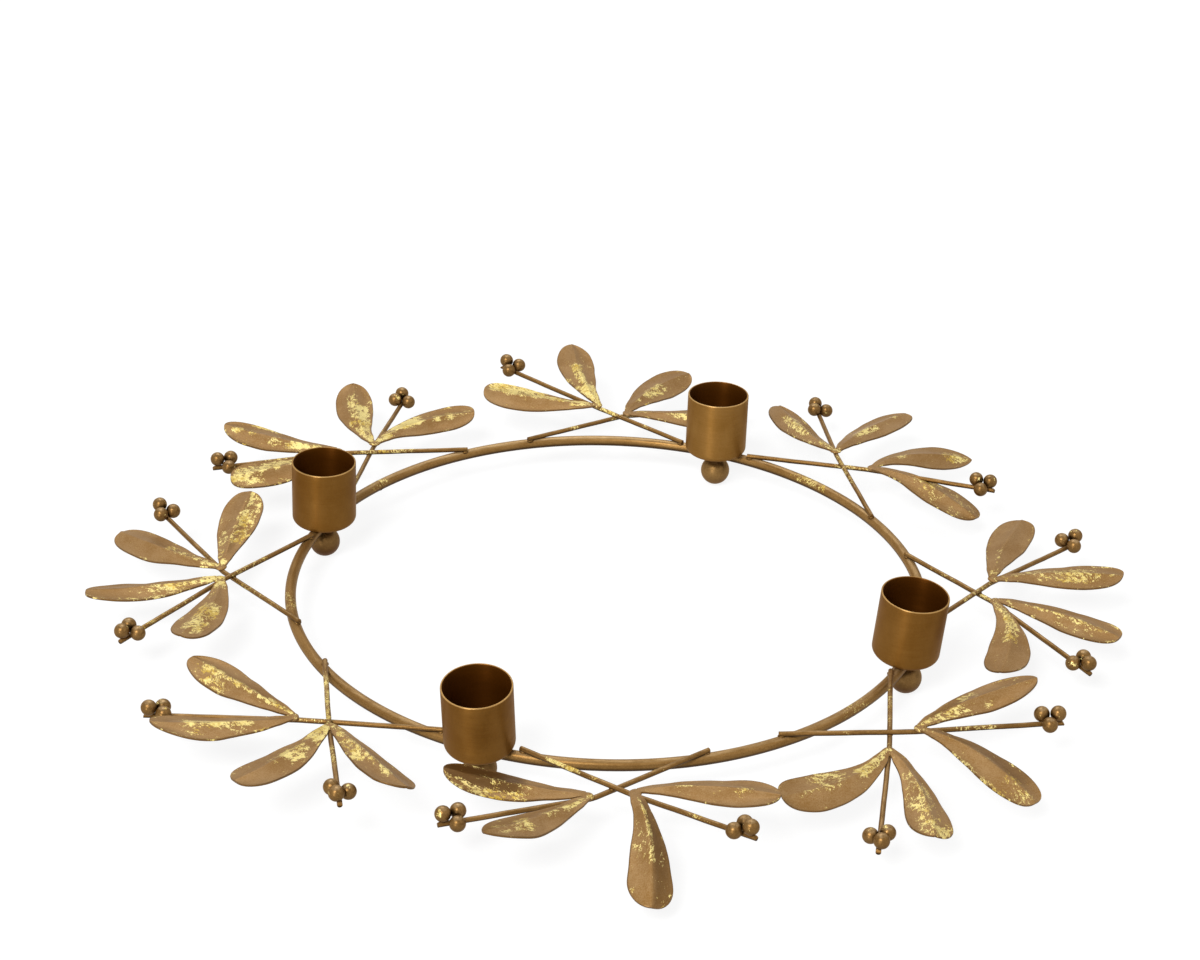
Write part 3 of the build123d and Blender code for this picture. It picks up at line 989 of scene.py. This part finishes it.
def cut_tip(wire, twig):
    """Cut the wire's outer end off at a slant and close it."""
    slant = twig.left.cross(twig.outward).cross(twig.outward)
    bevel = Matrix.Rotation(radians(TIP_BEVEL), 3, slant) @ twig.outward
    shape = bmesh.new()
    shape.from_mesh(wire)
    everything = shape.verts[:] + shape.edges[:] + shape.faces[:]
    cut = bmesh.ops.bisect_plane(shape, geom=everything, plane_co=twig.tip, plane_no=bevel, clear_outer=True)
    edges = [part for part in cut["geom_cut"] if isinstance(part, bmesh.types.BMEdge)]
    bmesh.ops.holes_fill(shape, edges=edges)
    shape.to_mesh(wire)
    shape.free()
    wire.set_sharp_from_angle(angle=radians(50))


def build_wire(name, twig, gilding):
    start = bpy.data.meshes.new("wire_start")
    start.from_pydata([tuple(twig.foot), tuple(twig.root), tuple(twig.tip)], [(0, 1), (1, 2)], [])
    wire = grow(BENT_WIRE, start, {"Material": TWIG_FINISH})
    cut_tip(wire, twig)
    inner = twig.root - twig.foot
    dense = []
    places = []
    for vertex in wire.vertices:
        past = (vertex.co - twig.root).dot(twig.outward)
        length = (vertex.co - twig.foot).dot(inner) / inner.length
        run = 1 + past / STEM_OUTER if past > 0 else length / inner.length
        found = max(power * window(run, begin, end, fade=0.12) for begin, end, power in gilding)
        dense.append(found if vertex.normal.z > 0.0 else 0.0)
        aside = (vertex.co - twig.root).dot(twig.left)
        places.append((length, aside, vertex.co.z + twig.stem.root * MM))
    dress(wire, places, gilding=dense)
    link_piece(f"{name}_wire", wire, "twig_paint", f"{name}_stem")


def half_width(share, form):
    """Half the leaf's width at a share of its length: a flared neck, a slow rise to where the form is
    broadest, then a tip as blunt as the form says."""
    if share <= form.broadest:
        strap = NECK_HALF + NECK_FLARE * clamp(share / NECK_END)
        return strap + (LEAF_HALF - strap) * (1 - cos(pi * share / form.broadest)) / 2
    past = (share - form.broadest) / (1 - form.broadest)
    return LEAF_HALF * max(0.0, 1 - past**form.tip) ** (1 / form.tip)


def fold_at(share, fold):
    """Fold of each half: none at the root, full along the blade, fading at the tip."""
    loss = FOLD_LOSS * clamp((share - FOLD_FADE) / (1 - FOLD_FADE))
    return radians(fold) * clamp(share / FOLD_FULL) * (1 - loss)


# Mesh of a leaf: rows along its blade and its tip, shares across it, and once around its section as
# places across, height in the sheet and which way it faces, 1 for up and for the rim and -1 for down
BLADE_ROWS = 40
TIP_ROWS = 20
TIP_TURN = 89.5
HALF_COLUMNS = 13
LEAF_ROWS = [LEAF_BROADEST * step / BLADE_ROWS for step in range(BLADE_ROWS)]
for tip_row in range(TIP_ROWS + 1):
    LEAF_ROWS.append(LEAF_BROADEST + (1 - LEAF_BROADEST) * sin(radians(TIP_TURN * tip_row / TIP_ROWS)))
LEAF_COLUMNS = [step / HALF_COLUMNS for step in range(-HALF_COLUMNS, HALF_COLUMNS + 1)]
LEAF_SECTION = [(across, LEAF_SHEET, 1) for across in LEAF_COLUMNS]
LEAF_SECTION.append((1.0, LEAF_SHEET / 2, 1))
LEAF_SECTION += [(across, 0.0, -1) for across in reversed(LEAF_COLUMNS)]
LEAF_SECTION.append((-1.0, LEAF_SHEET / 2, 1))

# Streaks of gilding: how far they reach past their ends and sides, and how gently they fade there
STREAK_OVER = 0.03
STREAK_FADE = 0.14
STREAK_ASIDE = 0.12
STREAK_SOFT = 0.2

# A streak narrower than this is thinned by up to this share
NARROW_STREAK = 0.3
NARROW_LOSS = 0.28

# Flakes outside the streaks: a few astray, and more past a place near the edge
STRAY_FLAKES = 0.15
EDGE_FLAKES = 0.9
EDGE_FLAKES_FROM = 0.8

# Paint on a leaf: painted shade below it and in a band along its edge, painted highlight in a band along its
# crease
BELOW_SHADE = 0.75
EDGE_SHADE = 0.6
EDGE_BAND = 0.12
CREASE_HIGHLIGHT = 0.4
CREASE_BAND = 0.12


def streak_at(share, across, streak):
    """How strong a streak is at a place on a leaf, given as shares of its length and half width."""
    spread = streak.breadth + STREAK_ASIDE
    soft = STREAK_SOFT + streak.breadth / 2
    lengthwise = window(share, streak.start - STREAK_OVER, streak.end + STREAK_OVER, STREAK_FADE)
    return streak.dense * lengthwise * window(across, streak.across - spread, streak.across + spread, soft)


def gilding_at(share, across, streaks, seed):
    """How densely flakes lie at a place on a leaf: in streaks, along parts of the edge, and a few astray."""
    found = STRAY_FLAKES
    if abs(across) > EDGE_FLAKES_FROM:
        found += EDGE_FLAKES * max(0.0, noise.noise(Vector((share * 5, seed * 3.7, across * 2))))
    for streak in streaks:
        thin = 1 - NARROW_LOSS + NARROW_LOSS * clamp(streak.breadth / NARROW_STREAK)
        found = max(found, thin * streak_at(share, across, streak))
    return found


def add_leaf(made, twig, leaf, sense, seed, streaks, shadow_patch, form):
    """Add one closed leaf, bent from its neck to its tip, folded along its crease and twisted."""
    neck = twig.leaf_base + twig.seat * ROOT_RIM + twig.left * (sense * ROOT_SPREAD / 2)
    heading = twig.heading + leaf.splay
    tip = twig.leaf_base + aim(heading, leaf.lift) * LEAF_LENGTH
    flat = aim(heading, 0)
    start = (flat - twig.seat * flat.dot(twig.seat)).normalized() + twig.seat * tan(radians(LEAF_SPRING))
    aside = twig.seat.cross(flat).normalized()
    middle = neck + start.normalized() * (LEAF_BEND * LEAF_LENGTH) + aside * (2 * leaf.bow * MM)
    soft = sqrt(1 + CREASE_SOFTNESS**2) - CREASE_SOFTNESS
    skew = TIP_SKEW * (sin(seed * 2.4) if form.skew is None else form.skew)
    made.faces.extend(tube_faces(len(LEAF_ROWS), len(LEAF_SECTION), len(made.points)))
    for share in LEAF_ROWS:
        rest = 1 - share
        point = neck * rest**2 + middle * (2 * share * rest) + tip * share**2
        along = ((middle - neck) * rest + (tip - middle) * share).normalized()
        side = (twig.seat * rest + UP * share).cross(along).normalized()
        side = Matrix.Rotation(radians(leaf.twist * share), 3, along) @ side
        up = along.cross(side)
        reach = half_width(share, form)
        angle = fold_at(share, leaf.fold)
        past = clamp((share - SKEW_START) / (1 - SKEW_START))
        for across, lift, face in LEAF_SECTION:
            hand = 1 if across > 0 else -1
            at_corner = abs(across) == 1.0 and lift != LEAF_SHEET / 2
            trim = EDGE_ROUNDING if at_corner else 0.0
            wander = 1 + EDGE_WANDER * noise.noise(Vector((share * 6, hand * 3.1, seed * 1.7)))
            out = side * (across * reach * wander * cos(angle) - trim * hand)
            lean = along * (skew * past**2 * across * reach / LEAF_HALF)
            ridge = (sqrt(across**2 + CREASE_SOFTNESS**2) - CREASE_SOFTNESS) / soft
            drift = noise.noise(Vector((share * 5 + seed * 7.3, across * 1.5, seed)))
            wave = drift * LEAF_WAVE * clamp(share * 4)
            hollow = reach * LEAF_CUPPING * (across**2 - abs(across)) * clamp(share * 3)
            spot = point + out + lean - up * (reach * sin(angle) * ridge) + up * (lift + wave + hollow)
            made.points.append(tuple(spot))
            made.places.append((across * reach, share * LEAF_LENGTH, seed * 0.1))
            made.gilding.append(gilding_at(share, across, streaks, seed) if face > 0 else 0.0)
            # Painted shade below the leaf, in a band along its edge, and in its patch of painted shade where
            # it has one
            edge = clamp((abs(across) - 1 + EDGE_BAND) / EDGE_BAND)
            dark = streak_at(share, across, shadow_patch) if shadow_patch else 0.0
            made.shade.append(max(EDGE_SHADE * edge**2, dark) if face > 0 else BELOW_SHADE)
            # Painted highlight along the crease
            crease = clamp(1 - abs(across) / CREASE_BAND) * clamp(share * 3)
            made.wear.append(CREASE_HIGHLIGHT * crease if face > 0 else 0.0)


# Heel of a stamped V: shares of its radius and thickness from the wire upward, and its gilding and shade
HEEL_PROFILE = ((0.86, 0.0), (0.97, 0.2), (1.0, 0.42), (0.96, 0.68), (0.82, 0.88), (0.55, 0.98), (0.2, 1.0))
HEEL_STEPS = 32
HEEL_FLAKES = 0.75
HEEL_SHADE = 0.6


def add_heel(made, twig, power):
    """Add the rounded heel of the stamped V, a low dome on the wire behind its two leaves."""
    radius = (ROOT_SPREAD + 2 * NECK_HALF) / 2
    thick = LEAF_SHEET + ROOT_RIM
    made.faces.extend(tube_faces(len(HEEL_PROFILE), HEEL_STEPS, len(made.points)))
    for row, (share, lift) in enumerate(HEEL_PROFILE):
        for step in range(HEEL_STEPS):
            angle = 2 * pi * step / HEEL_STEPS
            along = twig.outward * (radius * share * cos(angle))
            spot = twig.leaf_base + along + twig.left * (radius * share * sin(angle))
            made.points.append(tuple(spot + twig.seat * (thick * lift)))
            made.places.append(made.points[-1])
            made.gilding.append(HEEL_FLAKES * power if row > 2 else 0.0)
            made.shade.append(HEEL_SHADE if row < 2 else 0.0)
            made.wear.append(0.0)


def build_leaf_pair(name, label, number, twig):
    made = Surface([], [], [], [], [], [])
    power = 0.0
    for hand, leaf, sense in (("left", twig.stem.left, 1), ("right", twig.stem.right, -1)):
        which = f"{label} {hand}"
        streaks = [Streak(*streak) for streak in GILDING[which]]
        power = max([power] + [streak.dense for streak in streaks if streak.start == 0])
        seed = number * 2 + (sense + 1) // 2
        shadow_patch = Streak(*PAINTED_SHADOWS[which]) if which in PAINTED_SHADOWS else None
        add_leaf(made, twig, leaf, sense, seed, streaks, shadow_patch, FORMS.get(which, ROUND))
    add_heel(made, twig, power)
    mesh = new_mesh(f"{name}_leaf_pair", made.points, made.faces, LEAF_FINISH)
    dress(mesh, made.places, made.shade, made.wear, made.gilding)
    mesh.set_sharp_from_angle(angle=radians(60))
    link_piece(f"{name}_leaf_pair", mesh, "leaf_paint", f"{name}_leaves")


# Paint on berries: flakes, and how far the painted shade in the crevice between them reaches and how fast it
# darkens
BERRY_FLAKES = 0.8
CREVICE_REACH = 1.1 * BERRY_RADIUS
CREVICE_GAIN = 1.5


def build_berries(name, twig):
    centre = twig.root + twig.outward * STEM_OUTER
    spread = (2 * BERRY_RADIUS + BERRY_GAP) / sqrt(3)
    reach = BERRY_RADIUS + STEM_RADIUS - WELD_BED
    spots = []
    for turn in (0, 120, 240):
        angle = radians(twig.stem.spin + turn)
        aside = spread * sin(angle)
        rise = sqrt(reach**2 - aside**2)
        spots.append(centre + twig.outward * (spread * cos(angle)) + twig.left * aside + twig.seat * rise)
    size = (BERRY_RADIUS, BERRY_RADIUS, BERRY_RADIUS)
    start = points_mesh("berry_start", [(spot, size, 0) for spot in spots])
    berries = grow(BLOBS, start, {"Material": BERRY_FINISH})
    middle = sum(spots, Vector()) / len(spots)
    shade = []
    gilding = []
    for vertex in berries.vertices:
        # Painted shade on the underside and in the crevice between the berries
        crevice = clamp(1 - (vertex.co - middle).length / CREVICE_REACH)
        shade.append(max(underside(vertex.normal, BALL_SHADE), clamp(CREVICE_GAIN * crevice)))
        dense = BERRY_FLAKES * max(0.0, noise.noise(vertex.co / BERRY_RADIUS))
        gilding.append(dense if vertex.normal.z > 0 else 0.0)
    dress(berries, shade=shade, gilding=gilding)
    link_piece(f"{name}_berry_cluster", berries, "berry_paint", f"{name}_berries")


def build_sprays():
    """All twigs, leaves and berries. Returns where wires are welded, and how large each bead is."""
    welds = []
    for number, (lower, upper) in enumerate(SPRAYS, start=1):
        lower_twig, upper_twig, cross = lay_spray(lower, upper)
        welds.append((cross, CROSSING_SHARE))
        for order, (place, twig) in enumerate((("lower", lower_twig), ("upper", upper_twig))):
            name = f"spray_{number}_{place}"
            label = f"{number} {place}"
            build_wire(name, twig, WIRE_GILDING[label])
            build_leaf_pair(name, label, number * 2 + order, twig)
            build_berries(name, twig)
            inner = (twig.root - twig.foot).normalized()
            welds.append((twig.foot + inner * STEM_TAIL - UP * STEM_RADIUS * FOOT_DROP, FOOT_SHARE))
    return welds


def build_welds(welds):
    """Small uneven beads of weld where wires, balls and cups meet the rod, and where the rod closes."""
    beads = []
    for spot, share in welds:
        beads.append((spot, [share * half for half in WIRE_BEAD], 0))
    cup_seat = RING_HEIGHT + ROD_RADIUS - CUP_BEAD_SINK
    for angle, setback in zip(CUP_ANGLES, CUP_SETBACKS):
        beads.append((polar(angle, RING_RADIUS, RING_HEIGHT - ROD_RADIUS), BALL_BEAD, angle))
        beads.append((polar(angle, RING_RADIUS - setback / 2, cup_seat), CUP_BEAD, angle))
    beads.append((polar(RING_WELD_ANGLE, RING_RADIUS, RING_HEIGHT), RING_BEAD, RING_WELD_ANGLE))
    values = {"Material": TWIG_FINISH, "Dents": 0.5 * MM, "Dent Scale": 900.0, "Segments": 24, "Rings": 12}
    mesh = grow(BLOBS, points_mesh("weld_start", beads), values)
    # Darker weld beads, with painted shade on their undersides
    dress(mesh, shade=[WELD_SHADE + underside(vertex.normal, 1 - WELD_SHADE) for vertex in mesh.vertices])
    link_piece("weld_beads", mesh, "rod_paint")


# Camera, as worked out from the photograph: place, angles in degrees, lens and sensor in millimetres
CAMERA_PLACE = (0.0, -0.84566, 0.51421)
CAMERA_PITCH = 28.391
CAMERA_YAW = -0.241
CAMERA_ROLL = -1.578
CAMERA_LENS = 80.544
CAMERA_SENSOR = 36.0

# Lamps: name, place, target, size and power in watts
LAMPS = (
    ("key_lamp", (-0.84, -1.7, 1.98), (0, 0, 0.02), 1.0, 52.0),
    ("back_lamp", (-0.15, 0.6, 1.05), (0, 0, 0.02), 0.6, 2.5),
    ("front_lamp", (-1.24, -2.56, 0.47), (0, 0, 0.03), 0.6, 16.0),
    ("fill_lamp", (0.9, -0.3, 0.9), (0, 0, 0.02), 0.9, 1.5),
)


def build_camera():
    heading = Matrix.Rotation(radians(-CAMERA_YAW), 4, "Z")
    tilt = Matrix.Rotation(radians(90 - CAMERA_PITCH), 4, "X")
    roll = Matrix.Rotation(radians(-CAMERA_ROLL), 4, "Z")
    data = bpy.data.cameras.new("camera")
    data.sensor_width = CAMERA_SENSOR
    data.sensor_fit = "HORIZONTAL"
    data.lens = CAMERA_LENS
    camera = bpy.data.objects.new("camera", data)
    camera.matrix_world = Matrix.Translation(CAMERA_PLACE) @ heading @ tilt @ roll
    bpy.context.collection.objects.link(camera)
    bpy.context.scene.camera = camera


def seen_directly(tree):
    """1 for rays that show the surroundings themselves: to the camera, in gloss or through glass."""
    path = node(tree, "ShaderNodeLightPath")
    both = maths(tree, "MAXIMUM", path.outputs["Is Camera Ray"], path.outputs["Is Glossy Ray"])
    return maths(tree, "MAXIMUM", both, path.outputs["Is Transmission Ray"])


def grey(level):
    return (level, level, level, 1)


def build_floor():
    """Pale floor that glows a little less near the ring, and shows only a faint shadow when it is seen."""
    bpy.ops.mesh.primitive_plane_add(size=6.0)
    floor = bpy.context.object
    floor.name = "floor"
    material = bpy.data.materials.new("pale_floor")
    tree = blank_tree(material)
    plain = output(tree, "ShaderNodeBsdfDiffuse", {"Color": grey(0.6)})
    faint = output(tree, "ShaderNodeBsdfDiffuse", {"Color": grey(0.22)})
    place = node(tree, "ShaderNodeTexCoord").outputs["Object"]
    away = node(tree, "ShaderNodeVectorMath", {0: place}, operation="LENGTH").outputs["Value"]
    values = {"Value": away, "From Min": 0.3, "From Max": 1.0, "To Min": 0.86, "To Max": 1.0}
    lit = output(tree, "ShaderNodeMapRange", values)
    glow = output(tree, "ShaderNodeEmission", {"Color": grey(1), "Strength": lit})
    shown = output(tree, "ShaderNodeAddShader", {0: faint, 1: glow})
    mixed = output(tree, "ShaderNodeMixShader", {0: seen_directly(tree), 1: plain, 2: shown})
    node(tree, "ShaderNodeOutputMaterial", {"Surface": mixed})
    floor.data.materials.append(material)


def build_world():
    """White surroundings that give little light."""
    world = bpy.data.worlds.new("studio")
    bpy.context.scene.world = world
    tree = blank_tree(world)
    soft = output(tree, "ShaderNodeBackground", {"Color": grey(1), "Strength": 0.22})
    white = output(tree, "ShaderNodeBackground", {"Color": grey(1), "Strength": 1.0})
    mixed = output(tree, "ShaderNodeMixShader", {0: seen_directly(tree), 1: soft, 2: white})
    node(tree, "ShaderNodeOutputWorld", {"Surface": mixed})


def add_lamp(name, place, target, size, energy):
    data = bpy.data.lights.new(name, "AREA")
    data.size = size
    data.energy = energy
    lamp = bpy.data.objects.new(name, data)
    lamp.location = place
    lamp.rotation_euler = (Vector(target) - Vector(place)).to_track_quat("-Z", "Y").to_euler()
    bpy.context.collection.objects.link(lamp)


def build_studio():
    build_camera()
    build_floor()
    build_world()
    for lamp in LAMPS:
        add_lamp(*lamp)
    bpy.context.scene.view_settings.view_transform = "Standard"


build_studio()
build_ring()
build_feet()
build_cups()
build_welds(build_sprays())
